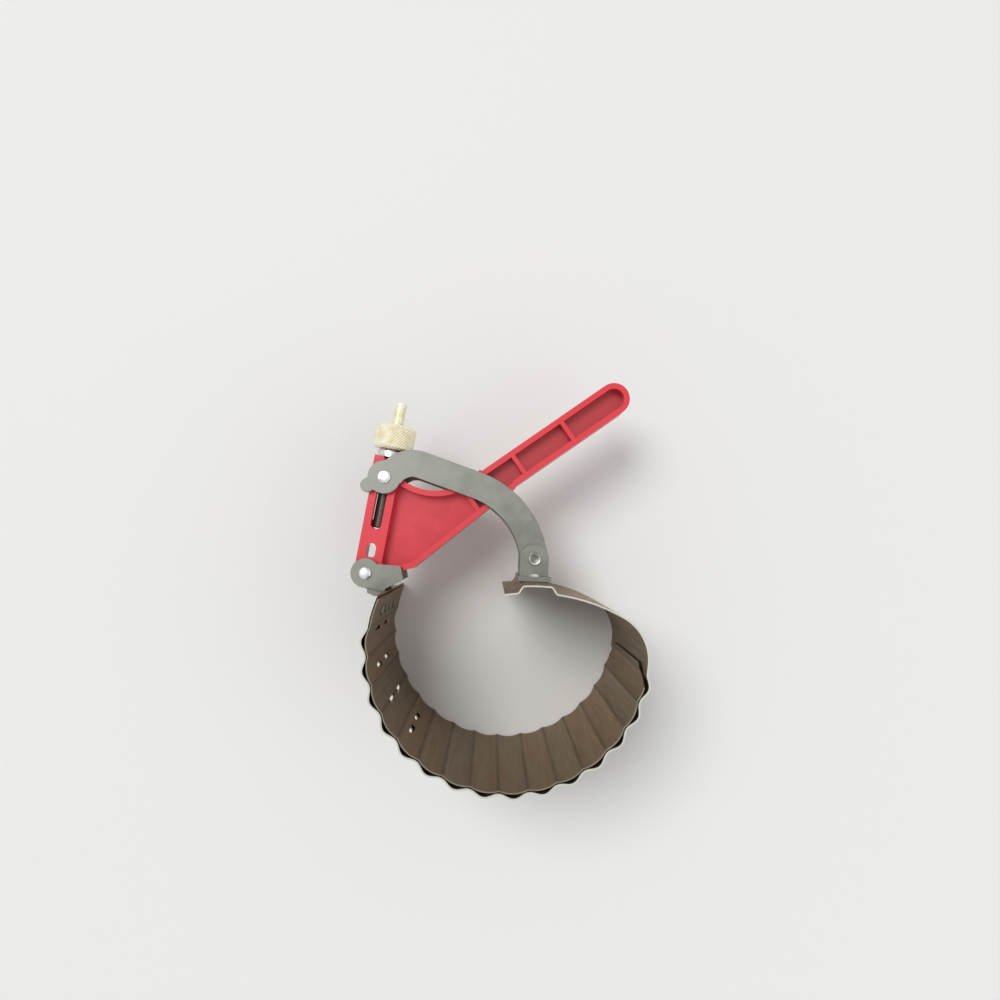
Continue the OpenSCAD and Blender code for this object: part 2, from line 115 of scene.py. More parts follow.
# zinc-plated pressed steel: satin grey with a faint green cast and a tumbled, cloudy finish
def makeZincPlate():
    look = {"dark": "#767770", "mid": "#7E7F78", "light": "#868780", "cloudMm": 9.0, "grainMm": 0.5}
    material, tree, place = startMaterial("zincPlatedSteel")
    cloud = addNode(tree, "ShaderNodeTexNoise", {"Scale": 1 / mm(look["cloudMm"]), "Detail": 5.0, "Roughness": 0.6},
                    {"Vector": place})
    colour = addNode(tree, "ShaderNodeValToRGB",
                     {"stops": [(0.3, look["dark"]), (0.5, look["mid"]), (0.72, look["light"])]},
                     {"Fac": cloud.outputs["Fac"]})
    grain = addNode(tree, "ShaderNodeTexNoise", {"Scale": 1 / mm(look["grainMm"]), "Detail": 3.0}, {"Vector": place})
    rough = addNode(tree, "ShaderNodeMapRange", {"From Min": 0.25, "From Max": 0.75, "To Min": 0.3, "To Max": 0.5},
                    {"Value": cloud.outputs["Fac"]})
    bump = addNode(tree, "ShaderNodeBump", {"Strength": 0.25, "Distance": mm(0.04)}, {"Height": grain.outputs["Fac"]})
    shader = addNode(tree, "ShaderNodeBsdfPrincipled", {"Metallic": 0.8},
                     {"Base Color": colour.outputs["Color"], "Roughness": rough.outputs["Result"],
                      "Normal": bump.outputs["Normal"]})
    addNode(tree, "ShaderNodeOutputMaterial", links={"Surface": shader.outputs["BSDF"]})
    return material


# glass-filled nylon, moulded in red: satin gloss with a faint swirl and a fine mould texture, with a painted highlight
# on its rims and painted shade in the handle's pockets
def makeRedNylon():
    look = {"deep": "#CB2737", "face": "#D32B3B", "pale": "#DA3343", "rimHighlight": "#E12F3D", "pocketShade": "#BB2D34",
            "swirlMm": 14.0, "grainMm": 0.45, "rimMm": (2.0, 6.2), "pocketHalfMm": (4.2, 5.2),
            "pocketMm": (-72.0, 4.4)}
    material, tree, place = startMaterial("redGlassFilledNylon")
    swirl = addNode(tree, "ShaderNodeTexNoise", {"Scale": 1 / mm(look["swirlMm"]), "Detail": 4.0, "Distortion": 1.2},
                    {"Vector": place})
    moulded = addNode(tree, "ShaderNodeValToRGB",
                      {"stops": [(0.3, look["deep"]), (0.5, look["face"]), (0.75, look["pale"])]},
                      {"Fac": swirl.outputs["Fac"]})
    # the handle's own axes: X runs out to its tip, Y across it, Z up from its middle
    tip = tuple(mm(value) for value in (*layout["handleTip"], layout["midHeight"]))
    onHandle = addNode(tree, "ShaderNodeMapping", {"vector_type": "TEXTURE", "Location": tip,
                                                   "Rotation": (0, 0, math.radians(layout["handleDirection"]))},
                       {"Vector": place})
    parts = addNode(tree, "ShaderNodeSeparateXYZ", links={"Vector": onHandle.outputs["Vector"]})
    height = addNode(tree, "ShaderNodeMath", {"operation": "ABSOLUTE"}, {0: parts.outputs["Z"]})
    across = addNode(tree, "ShaderNodeMath", {"operation": "ABSOLUTE"}, {0: parts.outputs["Y"]})
    # painted highlight: the rims are painted a brighter red
    onRim = addNode(tree, "ShaderNodeMapRange", {"From Min": mm(look["rimMm"][0]), "From Max": mm(look["rimMm"][1])},
                    {"Value": height.outputs["Value"]})
    # painted shade: the handle's pockets are painted a darker, duller red
    between = addNode(tree, "ShaderNodeMapRange",
                      {"From Min": mm(look["pocketHalfMm"][0]), "From Max": mm(look["pocketHalfMm"][1]),
                       "To Min": 1.0, "To Max": 0.0},
                      {"Value": across.outputs["Value"]})
    pocketFrom, pocketTo = look["pocketMm"]
    along = addNode(tree, "ShaderNodeMath", {"operation": "COMPARE", 1: mm(pocketFrom + pocketTo) / 2,
                                             2: mm(pocketTo - pocketFrom) / 2}, {0: parts.outputs["X"]})
    inPocket = addNode(tree, "ShaderNodeMath", {"operation": "MULTIPLY"},
                       {0: between.outputs["Result"], 1: along.outputs["Value"]})
    shadedPockets = addNode(tree, "ShaderNodeMix", {"data_type": "RGBA", mixB: hexToLinear(look["pocketShade"])},
                     {"Factor": inPocket.outputs["Value"], mixA: moulded.outputs["Color"]})
    colour = addNode(tree, "ShaderNodeMix", {"data_type": "RGBA", mixB: hexToLinear(look["rimHighlight"])},
                     {"Factor": onRim.outputs["Result"], mixA: shadedPockets.outputs[mixResult]})
    grain = addNode(tree, "ShaderNodeTexNoise", {"Scale": 1 / mm(look["grainMm"]), "Detail": 2.0}, {"Vector": place})
    rough = addNode(tree, "ShaderNodeMapRange", {"From Min": 0.3, "From Max": 0.7, "To Min": 0.3, "To Max": 0.42},
                    {"Value": swirl.outputs["Fac"]})
    bump = addNode(tree, "ShaderNodeBump", {"Strength": 0.3, "Distance": mm(0.05)}, {"Height": grain.outputs["Fac"]})
    shader = addNode(tree, "ShaderNodeBsdfPrincipled", {"IOR": 1.53, "Coat Weight": 0.15, "Coat Roughness": 0.2},
                     {"Base Color": colour.outputs[mixResult], "Roughness": rough.outputs["Result"],
                      "Normal": bump.outputs["Normal"]})
    addNode(tree, "ShaderNodeOutputMaterial", links={"Surface": shader.outputs["BSDF"]})
    return material


# hardened spring steel: oiled brown-grey strip, rusted in streaks along the ring's axis, with painted shade in the
# creases, panels that differ in grey tone at random, and cut edges of a given colour, on the band bright bare steel
# with a painted highlight
def makeSpringSteel(name, cut, edgeMm):
    look = {"dark": "#6F604C", "mid": "#786852", "rust": "#80604A", "grey": "#646860", "valleyShade": "#3E352A",
            "glance": "#F3E2D2", "streakMm": 1.5, "rollMm": 0.35, "ridgeMargin": 0.1}
    material, tree, place = startMaterial(name)
    along = addNode(tree, "ShaderNodeMapping", {"Scale": (1.0, 1.0, 0.06)}, {"Vector": place})
    streak = addNode(tree, "ShaderNodeTexNoise", {"Scale": 1 / mm(look["streakMm"]), "Detail": 4.0, "Roughness": 0.65},
                     {"Vector": along.outputs["Vector"]})
    body = addNode(tree, "ShaderNodeValToRGB",
                   {"stops": [(0.3, look["dark"]), (0.5, look["mid"]), (0.62, look["rust"]), (0.74, look["mid"])]},
                   {"Fac": streak.outputs["Fac"]})
    # the sheets' own map holds metres along the band, so creases and panels follow the ridges
    sheetMap = addNode(tree, "ShaderNodeUVMap", {"uv_map": "alongBand"})
    mapped = addNode(tree, "ShaderNodeSeparateXYZ", links={"Vector": sheetMap.outputs["UV"]})
    ridge = addNode(tree, "ShaderNodeMath", {"operation": "MULTIPLY_ADD", 1: 1 / mm(layout["ridgePitch"]),
                                             2: -layout["ridgeFrom"] / layout["ridgePitch"]}, {0: mapped.outputs["X"]})
    valley = addNode(tree, "ShaderNodeMath", {"operation": "PINGPONG", 1: 0.5}, {0: ridge.outputs["Value"]})
    # painted shade: a dark line is painted along each valley of the ridged part
    line = addNode(tree, "ShaderNodeMapRange", {"From Min": 0.01, "From Max": 0.1, "To Min": 0.8, "To Max": 0.0},
                   {"Value": valley.outputs["Value"]})
    ridged = addNode(tree, "ShaderNodeMath", {"operation": "COMPARE", 1: layout["ridgeCount"] / 2,
                                              2: layout["ridgeCount"] / 2 + look["ridgeMargin"]},
                     {0: ridge.outputs["Value"]})
    valleyShade = addNode(tree, "ShaderNodeMath", {"operation": "MULTIPLY"},
                     {0: line.outputs["Result"], 1: ridged.outputs["Value"]})
    # each panel takes a grey tone at random
    number = addNode(tree, "ShaderNodeMath", {"operation": "FLOOR"}, {0: ridge.outputs["Value"]})
    chance = addNode(tree, "ShaderNodeTexWhiteNoise", {"noise_dimensions": "1D"}, {"W": number.outputs["Value"]})
    panelTone = addNode(tree, "ShaderNodeMapRange", {"From Min": 0.3, "From Max": 1.0, "To Min": 0.0, "To Max": 0.55},
                   {"Value": chance.outputs["Value"]})
    panels = addNode(tree, "ShaderNodeMix", {"data_type": "RGBA", mixB: hexToLinear(look["grey"])},
                     {"Factor": panelTone.outputs["Result"], mixA: body.outputs["Color"]})
    withValleyShade = addNode(tree, "ShaderNodeMix", {"data_type": "RGBA", mixB: hexToLinear(look["valleyShade"])},
                      {"Factor": valleyShade.outputs["Value"], mixA: panels.outputs[mixResult]})
    parts = addNode(tree, "ShaderNodeSeparateXYZ", links={"Vector": place})
    fromMiddle = addNode(tree, "ShaderNodeMath", {"operation": "SUBTRACT", 1: mm(layout["midHeight"])},
                         {0: parts.outputs["Z"]})
    reach = addNode(tree, "ShaderNodeMath", {"operation": "ABSOLUTE"}, {0: fromMiddle.outputs["Value"]})
    # the edges take the given colour: on the band, bright bare steel with a painted highlight of its lit rims
    edge = addNode(tree, "ShaderNodeMapRange", {"From Min": mm(edgeMm[0]), "From Max": mm(edgeMm[1])},
                   {"Value": reach.outputs["Value"]})
    colour = addNode(tree, "ShaderNodeMix", {"data_type": "RGBA", mixB: hexToLinear(cut)},
                     {"Factor": edge.outputs["Result"], mixA: withValleyShade.outputs[mixResult]})
    rolled = addNode(tree, "ShaderNodeMapping", {"Scale": (0.05, 0.05, 1.0)}, {"Vector": place})
    roll = addNode(tree, "ShaderNodeTexNoise", {"Scale": 1 / mm(look["rollMm"]), "Detail": 2.0},
                   {"Vector": rolled.outputs["Vector"]})
    rough = addNode(tree, "ShaderNodeMapRange", {"From Min": 0.3, "From Max": 0.7, "To Min": 0.26, "To Max": 0.42},
                    {"Value": streak.outputs["Fac"]})
    bump = addNode(tree, "ShaderNodeBump", {"Strength": 0.2, "Distance": mm(0.03)}, {"Height": roll.outputs["Fac"]})
    shader = addNode(tree, "ShaderNodeBsdfPrincipled", {"Metallic": 0.8, "Specular Tint": hexToLinear(look["glance"])},
                     {"Base Color": colour.outputs[mixResult], "Roughness": rough.outputs["Result"],
                      "Normal": bump.outputs["Normal"]})
    addNode(tree, "ShaderNodeOutputMaterial", links={"Surface": shader.outputs["BSDF"]})
    return material


# bright nickel-plated rivet steel: nearly white, smooth, with faint swirl marks from heading; the hollow of the end
# pivot's rivet has a dull grey floor of painted shade
def makeBrightRivet():
    look = {"low": "#B9BBB8", "high": "#E2E3DF", "hollowShade": "#74756F", "markMm": 1.6, "hollowHeightMm": 52.05,
            "hollowMm": (1.7, 1.85)}
    material, tree, place = startMaterial("brightPlatedRivet")
    mark = addNode(tree, "ShaderNodeTexNoise", {"Scale": 1 / mm(look["markMm"]), "Detail": 4.0}, {"Vector": place})
    plated = addNode(tree, "ShaderNodeValToRGB", {"stops": [(0.3, look["low"]), (0.6, look["high"])]},
                     {"Fac": mark.outputs["Fac"]})
    # painted shade: the hollow's floor is painted dull grey
    hollow = tuple(mm(value) for value in (*layout["endPivot"], look["hollowHeightMm"]))
    away = addNode(tree, "ShaderNodeVectorMath", {"operation": "DISTANCE", 1: hollow}, {0: place})
    outside = addNode(tree, "ShaderNodeMapRange",
                      {"From Min": mm(look["hollowMm"][0]), "From Max": mm(look["hollowMm"][1])},
                      {"Value": away.outputs["Value"]})
    colour = addNode(tree, "ShaderNodeMix", {"data_type": "RGBA", mixA: hexToLinear(look["hollowShade"])},
                     {"Factor": outside.outputs["Result"], mixB: plated.outputs["Color"]})
    rough = addNode(tree, "ShaderNodeMapRange", {"From Min": 0.3, "From Max": 0.7, "To Min": 0.26, "To Max": 0.4},
                    {"Value": mark.outputs["Fac"]})
    bump = addNode(tree, "ShaderNodeBump", {"Strength": 0.12, "Distance": mm(0.03)}, {"Height": mark.outputs["Fac"]})
    shader = addNode(tree, "ShaderNodeBsdfPrincipled", {"Metallic": 0.95},
                     {"Base Color": colour.outputs[mixResult], "Roughness": rough.outputs["Result"],
                      "Normal": bump.outputs["Normal"]})
    addNode(tree, "ShaderNodeOutputMaterial", links={"Surface": shader.outputs["BSDF"]})
    return material


# yellow-passivated zinc on turned steel: pale cream with warmer patches; the screw's plain rod is bare oiled steel,
# painted dark with painted shade
def makeYellowZinc():
    look = {"pale": "#FDFBF0", "gold": "#F6F0D4", "warm": "#EFE6BE", "bareRodShade": "#6E6158", "patchMm": 3.0, "turnMm": 0.3,
            "platedMm": (37.0, 37.5)}
    material, tree, place = startMaterial("yellowPassivatedZinc")
    patch = addNode(tree, "ShaderNodeTexNoise", {"Scale": 1 / mm(look["patchMm"]), "Detail": 4.0}, {"Vector": place})
    plated = addNode(tree, "ShaderNodeValToRGB",
                     {"stops": [(0.3, look["warm"]), (0.48, look["gold"]), (0.7, look["pale"])]},
                     {"Fac": patch.outputs["Fac"]})
    # the plain rod below the plating is painted dark: bare oiled steel, with painted shade of the lever's slot it lies
    # in
    upScrew = addNode(tree, "ShaderNodeVectorMath",
                      {"operation": "DOT_PRODUCT", 1: (*turned(layout["screwDirection"]), 0)}, {0: place})
    where = addNode(tree, "ShaderNodeMapRange",
                    {"From Min": mm(look["platedMm"][0]), "From Max": mm(look["platedMm"][1])},
                    {"Value": upScrew.outputs["Value"]})
    colour = addNode(tree, "ShaderNodeMix", {"data_type": "RGBA", mixA: hexToLinear(look["bareRodShade"])},
                     {"Factor": where.outputs["Result"], mixB: plated.outputs["Color"]})
    fine = addNode(tree, "ShaderNodeTexNoise", {"Scale": 1 / mm(look["turnMm"]), "Detail": 2.0}, {"Vector": place})
    rough = addNode(tree, "ShaderNodeMapRange", {"From Min": 0.3, "From Max": 0.7, "To Min": 0.24, "To Max": 0.4},
                    {"Value": patch.outputs["Fac"]})
    bump = addNode(tree, "ShaderNodeBump", {"Strength": 0.08, "Distance": mm(0.03)}, {"Height": fine.outputs["Fac"]})
    shader = addNode(tree, "ShaderNodeBsdfPrincipled", {"Metallic": 0.3},
                     {"Base Color": colour.outputs[mixResult], "Roughness": rough.outputs["Result"],
                      "Normal": bump.outputs["Normal"]})
    addNode(tree, "ShaderNodeOutputMaterial", links={"Surface": shader.outputs["BSDF"]})
    return material


zincPlate = makeZincPlate()
redNylon = makeRedNylon()
# bright edges on the band, bare sheared steel with a painted highlight; dull ones on the inner strip
bandSteel = makeSpringSteel("hardenedSpringSteel", "#C4C4B8", (39.4, 39.9))
stripSteel = makeSpringSteel("hardenedSpringSteelStrip", "#827E72", (38.85, 38.97))
brightRivet = makeBrightRivet()
yellowZinc = makeYellowZinc()
print("materials made")

# limits for welding points, dissolving flat edges and breaking sharp ones
mesh = {"weldMm": 0.002, "flatAngle": 1.0, "sharpAngle": 40.0}


def clearSelection():
    if bpy.context.object and bpy.context.object.mode != "OBJECT":
        bpy.ops.object.mode_set(mode="OBJECT")
    bpy.ops.object.select_all(action="DESELECT")


def makeActive(piece):
    clearSelection()
    piece.select_set(True)
    bpy.context.view_layer.objects.active = piece


# ends an edit with every face pointing outwards
def faceOutwards():
    bpy.ops.mesh.select_all(action="SELECT")
    bpy.ops.mesh.normals_make_consistent(inside=False)
    bpy.ops.object.mode_set(mode="OBJECT")


def applyModifier(piece, kind, name, settings):
    makeActive(piece)
    modifier = piece.modifiers.new(name, kind)
    for key, value in settings.items():
        setattr(modifier, key, value)
    bpy.ops.object.modifier_apply(modifier=modifier.name)


def bakePlace(piece, matrix):
    makeActive(piece)
    piece.matrix_world = matrix
    bpy.ops.object.transform_apply(location=True, rotation=True, scale=True)


def finishPiece(piece, material, body, nodes, angle=35.0):
    piece.data.materials.clear()
    piece.data.materials.append(material)
    makeActive(piece)
    bpy.ops.object.shade_smooth_by_angle(angle=math.radians(angle))
    if body:
        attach(piece, body)
    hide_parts(*nodes)


# a copy of a CAD node with its sharp edges broken, as tumbling or moulding leaves them
def easedCopy(node, name, material, body, width, segments):
    piece = bpy.data.objects.new(name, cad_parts[node].data.copy())
    bpy.context.scene.collection.objects.link(piece)
    makeActive(piece)
    bpy.ops.object.mode_set(mode="EDIT")
    bpy.ops.mesh.select_all(action="SELECT")
    bpy.ops.mesh.remove_doubles(threshold=mm(mesh["weldMm"]))
    bpy.ops.mesh.dissolve_limited(angle_limit=math.radians(mesh["flatAngle"]))
    bpy.ops.object.mode_set(mode="OBJECT")
    applyModifier(piece, "BEVEL", "easedEdges",
                  {"width": mm(width), "segments": segments, "limit_method": "ANGLE",
                   "angle_limit": math.radians(mesh["sharpAngle"]), "harden_normals": False})
    finishPiece(piece, material, body, [node])
    applyModifier(piece, "WEIGHTED_NORMAL", "flatFaces", {"keep_sharp": True, "weight": 80})


# a turned piece: the profile is extruded point by point and spun about Z
def turnedPiece(name, profile, steps):
    clearSelection()
    bpy.ops.mesh.primitive_plane_add(size=mm(1))
    piece = bpy.context.object
    piece.name = name
    bpy.ops.object.mode_set(mode="EDIT")
    bpy.ops.mesh.select_mode(type="VERT")
    bpy.ops.mesh.select_all(action="SELECT")
    bpy.ops.mesh.merge(type="CENTER")
    points = [Vector((mm(radius), 0.0, mm(height))) for radius, height in profile]
    bpy.ops.transform.translate(value=points[0])
    for here, there in zip(points, points[1:]):
        bpy.ops.mesh.extrude_vertices_move(TRANSFORM_OT_translate={"value": there - here})
    bpy.ops.mesh.select_all(action="SELECT")
    bpy.ops.mesh.spin(steps=steps, angle=math.tau, center=(0, 0, 0), axis=(0, 0, 1))
    bpy.ops.mesh.select_all(action="SELECT")
    bpy.ops.mesh.remove_doubles(threshold=mm(mesh["weldMm"]))
    faceOutwards()
    return piece


def onPivot(point):
    return Matrix.Translation((mm(point[0]), mm(point[1]), mm(layout["midHeight"])))


def onScrew(distance):
    turn = math.radians(layout["screwDirection"])
    return (onPivot(layout["pivot"]) @ Matrix.Rotation(turn, 4, "Z")
            @ Matrix.Rotation(math.pi / 2, 4, "Y") @ Matrix.Translation((0, 0, mm(distance))))


# the ridged band, one springy strip from the lever's bracket round to the free end
band = {
    "height": 80.0, "thickness": 0.6, "radius": 52.0, "startAngle": 156.5, "turnAngle": 355.0,
    "bendRadius": 18.0, "tailAngle": 150.0, "tailRadius": 68.0, "tailLength": 45.2, "tailGives": 12.5,
    "ridgeHeight": 1.8, "stepsPerRidge": 16, "markGap": 0.02, "edgeLevels": (0.6, 10.0),
    "seatMark": 233.738, "seatHalf": 4.8, "seatRamp": 2.6, "seatHeight": 2.5,
    "slotWidth": 2.2, "slotLength": 13.0, "slotPair": 21.0, "slotFirst": 15.5, "slotPitch": 15.0, "slotCount": 4,
}
# angles of the outward direction where the bend and the tail begin, and lengths along the band
band["bendStart"] = band["turnAngle"] - 360.0
band["tailStart"] = band["tailAngle"] - 90.0
band["arcLength"] = band["radius"] * math.radians(band["turnAngle"] - band["startAngle"])
band["bendLength"] = band["bendRadius"] * math.radians(band["tailStart"] - band["bendStart"])
band["length"] = band["arcLength"] + band["bendLength"] + band["tailLength"]
# the inner strip: shallow panels creased at the band's valleys, with a tapered tongue at its free end
strip = {"from": 1.0, "to": 179.0, "step": 1.1, "thickness": 0.5, "offset": -0.85, "low": 1.0, "high": 79.0,
         "panelHeight": 0.9, "tongueLength": 7.0, "tongueCut": 12.0}


# place and outward direction on the band's middle line, s millimetres from its fixed end
def bandLine(s):
    bendCentre = turned(band["bendStart"]) * (band["radius"] - band["bendRadius"])
    tailCentre = bendCentre + turned(band["tailStart"]) * (band["bendRadius"] - band["tailRadius"])
    if s <= band["arcLength"]:
        outward = turned(band["startAngle"] + math.degrees(s / band["radius"]))
        middle = outward * band["radius"]
    elif s <= band["arcLength"] + band["bendLength"]:
        outward = turned(band["bendStart"] + math.degrees((s - band["arcLength"]) / band["bendRadius"]))
        middle = bendCentre + outward * band["bendRadius"]
    else:
        past = s - band["arcLength"] - band["bendLength"]
        outward = turned(band["tailStart"] + math.degrees(past / band["tailRadius"]))
        middle = tailCentre + outward * band["tailRadius"]
    return middle + Vector(layout["ringCentre"]), outward


def bandRise(s):
    away = abs(s - band["seatMark"])
    if away < band["seatHalf"]:
        return band["seatHeight"]
    if away < band["seatHalf"] + band["seatRamp"]:
        return band["seatHeight"] * math.cos(math.pi / 2 * (away - band["seatHalf"]) / band["seatRamp"]) ** 2
    if layout["ridgeFrom"] < s < layout["ridgeFrom"] + layout["ridgeCount"] * layout["ridgePitch"]:
        return band["ridgeHeight"] * math.sin(math.pi * (s - layout["ridgeFrom"]) / layout["ridgePitch"]) ** 2
    return 0.0


def stripRise(s):
    past = (s - layout["ridgeFrom"]) / layout["ridgePitch"]
    if past < 0 or past > layout["ridgeCount"]:
        return 0.0
    share = past - math.floor(past)
    return 4 * strip["panelHeight"] * share * (1 - share)


def fullHeight(s):
    return 1.0


# how much of the strip's height is left at a place on its tongue
def tongueShare(s):
    cut = max(0.0, s - strip["to"] + strip["tongueLength"]) / strip["tongueLength"] * strip["tongueCut"]
    return 1 - cut / (strip["high"] - strip["low"]) * 2


def inSlot(along, level):
    for index in range(band["slotCount"]):
        if abs(along - band["slotFirst"] - index * band["slotPitch"]) < band["slotWidth"] / 2:
            return abs(abs(level - band["height"] / 2) - band["slotPair"] / 2) < band["slotLength"] / 2
    return False


# marks along the band with the edges of the slots among them
def slotMarks(marks):
    edges = [band["slotFirst"] + index * band["slotPitch"] + side * band["slotWidth"] / 2
             for index in range(band["slotCount"]) for side in (-1, 1)]
    marks = sorted(marks + edges)
    return [mark for i, mark in enumerate(marks) if i == 0 or mark - marks[i - 1] > band["markGap"]]


def slotLevels(low, high):
    middle = band["height"] / 2
    ends = [middle + side * (band["slotPair"] / 2 + end * band["slotLength"] / 2)
            for side in (-1, 1) for end in (-1, 1)]
    inset = [level for step in band["edgeLevels"] for level in (low + step, high - step)]
    return sorted([low, middle, high] + ends + inset)


# a springy sheet along the band: a grid is wrapped to the line, slotted and thickened
def buildSheet(name, marks, levels, offset, rise, heightShare, thickness):
    columns, rows = len(marks) - 1, len(levels) - 1
    clearSelection()
    bpy.ops.mesh.primitive_grid_add(x_subdivisions=columns, y_subdivisions=rows, size=1.0)
    piece = bpy.context.object
    piece.name = name
    sheetMap = piece.data.uv_layers[0]
    sheetMap.name = "alongBand"
    spots = []
    for vertex in piece.data.vertices:
        s = marks[round((vertex.co.x + 0.5) * columns)]
        level = levels[round((vertex.co.y + 0.5) * rows)]
        spots.append((mm(s), mm(level)))
        middle, outward = bandLine(s)
        place = middle + outward * (offset + rise(s))
        height = layout["midHeight"] + (level - layout["midHeight"]) * heightShare(s)
        vertex.co = (mm(place.x), mm(place.y), mm(height))
    for loop in piece.data.loops:
        sheetMap.data[loop.index].uv = spots[loop.vertex_index]
    makeActive(piece)
    bpy.ops.object.mode_set(mode="EDIT")
    bpy.ops.mesh.select_mode(type="FACE")
    bpy.ops.mesh.select_all(action="DESELECT")
    bpy.ops.object.mode_set(mode="OBJECT")
    for polygon in piece.data.polygons:
        row, column = divmod(polygon.index, columns)
        along = (marks[column] + marks[column + 1]) / 2
        level = (levels[row] + levels[row + 1]) / 2
        polygon.select = inSlot(along, level)
    bpy.ops.object.mode_set(mode="EDIT")
    bpy.ops.mesh.delete(type="FACE")
    bpy.ops.object.mode_set(mode="OBJECT")
    applyModifier(piece, "SOLIDIFY", "sheetThickness", {"thickness": mm(thickness), "offset": 0.0})
    bpy.ops.object.mode_set(mode="EDIT")
    faceOutwards()
    return piece


# the ring's sheets take their material and smoothing, hide the CAD nodes they replace and keep their place in their
# mesh
def bendSheet(piece, material, nodes, angle):
    finishPiece(piece, material, None, nodes, angle)
    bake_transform(piece)


# the tail past the ring takes the band's steel and smoothing, replaces its CAD node and joins the band's end body with
# a mesh of its own
def foldTail(piece):
    finishPiece(piece, bandSteel, "band_end", ["band_free_half"], 35.0)
    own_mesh(piece)


def buildBand():
    count = int(band["length"] / layout["ridgePitch"] * band["stepsPerRidge"])
    marks = slotMarks([band["length"] * i / count for i in range(count + 1)] + [band["arcLength"]])
    levels = slotLevels(0.0, band["height"])
    ring = buildSheet("ridgedBand", [mark for mark in marks if mark <= band["arcLength"]], levels, 0.0, bandRise,
                      fullHeight, band["thickness"])
    bendSheet(ring, bandSteel, ["band_fixed_half", "band_free_half"], 35.0)
    tail = buildSheet("bandTail", [mark for mark in marks if mark >= band["arcLength"]], levels, 0.0, bandRise,
                      fullHeight, band["thickness"])
    foldTail(tail)
    count = int((strip["to"] - strip["from"]) / strip["step"])
    marks = slotMarks([strip["from"] + i * strip["step"] for i in range(count + 1)] + [strip["to"]])
    inner = buildSheet("slottedStrip", marks, slotLevels(strip["low"], strip["high"]), strip["offset"], stripRise,
                       tongueShare, strip["thickness"])
    bendSheet(inner, stripSteel, ["slotted_strip", "strip_tongue"], 20.0)


buildBand()
print("band built")


# knurled nut, with ridges that climb at an angle round its side
nut = {"foot": 52.1, "height": 10.4, "radius": 8.4, "bore": 2.55, "mouth": 0.7, "ridges": 42, "depth": 0.45,
       "climb": 52.0, "layers": 12, "lowChamfer": (1.0, 0.8), "topChamfer": (1.4, 1.2), "sideSlack": 0.05,
       "lineSlack": 0.02}


def buildNut():
    low, high = nut["lowChamfer"], nut["topChamfer"]
    knurlFrom, knurlTo = low[1], nut["height"] - high[1]
    rings = [(0.0, nut["radius"] - low[0], 0.0), (knurlFrom, nut["radius"], 0.0)]
    for layer in range(1, nut["layers"] + 1):
        share = layer / nut["layers"]
        rings.append((knurlFrom + share * (knurlTo - knurlFrom), nut["radius"], 1.0 / nut["layers"]))
    rings += [(nut["height"], nut["radius"] - high[0], 0.0), (nut["height"], nut["bore"] + nut["mouth"], 0.0),
              (nut["height"] - nut["mouth"], nut["bore"], 0.0)]
    clearSelection()
    bpy.ops.mesh.primitive_circle_add(vertices=nut["ridges"] * 2, radius=mm(nut["bore"]), fill_type="NOTHING")
    piece = bpy.context.object
    piece.name = "knurledNut"
    bpy.ops.object.mode_set(mode="EDIT")
    bpy.ops.mesh.select_all(action="SELECT")
    height, radius = 0.0, nut["bore"]
    for nextHeight, nextRadius, turn in rings:
        bpy.ops.mesh.extrude_edges_move(TRANSFORM_OT_translate={"value": (0, 0, mm(nextHeight - height))})
        grow = nextRadius / radius
        bpy.ops.transform.resize(value=(grow, grow, 1.0), center_override=(0, 0, mm(nextHeight)))
        if turn:
            bpy.ops.transform.rotate(value=-math.radians(nut["climb"] * turn), orient_axis="Z",
                                     center_override=(0, 0, mm(nextHeight)))
        height, radius = nextHeight, nextRadius
    bpy.ops.mesh.select_all(action="DESELECT")
    bpy.ops.mesh.select_mode(type="EDGE")
    bpy.ops.mesh.select_non_manifold()
    bpy.ops.mesh.bridge_edge_loops()
    faceOutwards()
    # every second line of points on the side is pressed in, which leaves the ridges
    step = math.pi / nut["ridges"]
    start = math.atan2(piece.data.vertices[0].co.y, piece.data.vertices[0].co.x)
    keep = 1 - nut["depth"] / nut["radius"]
    climbed = 0.0
    for vertex in piece.data.vertices:
        if math.hypot(vertex.co.x, vertex.co.y) < mm(nut["radius"] - nut["sideSlack"]):
            continue
        share = (vertex.co.z * 1000 - knurlFrom) / (knurlTo - knurlFrom)
        for sign in (1, -1):
            turn = (math.atan2(vertex.co.y, vertex.co.x) - start - sign * math.radians(nut["climb"]) * share) / step
            if abs(turn - round(turn)) < nut["lineSlack"]:
                climbed = turn
                break
        if round(climbed) % 2:
            vertex.co.x *= keep
            vertex.co.y *= keep
    bakePlace(piece, onScrew(nut["foot"]))
    finishPiece(piece, yellowZinc, "nut", ["knurled_nut"], 25.0)


buildNut()
print("nut built")


# adjusting screw: a turned core with a plain rod below its barrel, and a rolled thread wound round it
screw = {"rodLow": 19.0, "barrelLow": 35.0, "barrelHigh": 45.0, "barrelRadius": 3.7, "top": 72.3, "core": 2.1,
         "crest": 2.5, "chamfer": 0.6, "tipChamfer": 0.35, "sides": 40, "pitch": 0.8, "threadFrom": 46.0,
         "threadSink": 0.15, "crestHalf": 0.06, "rootShare": 0.44, "threadSteps": 24}


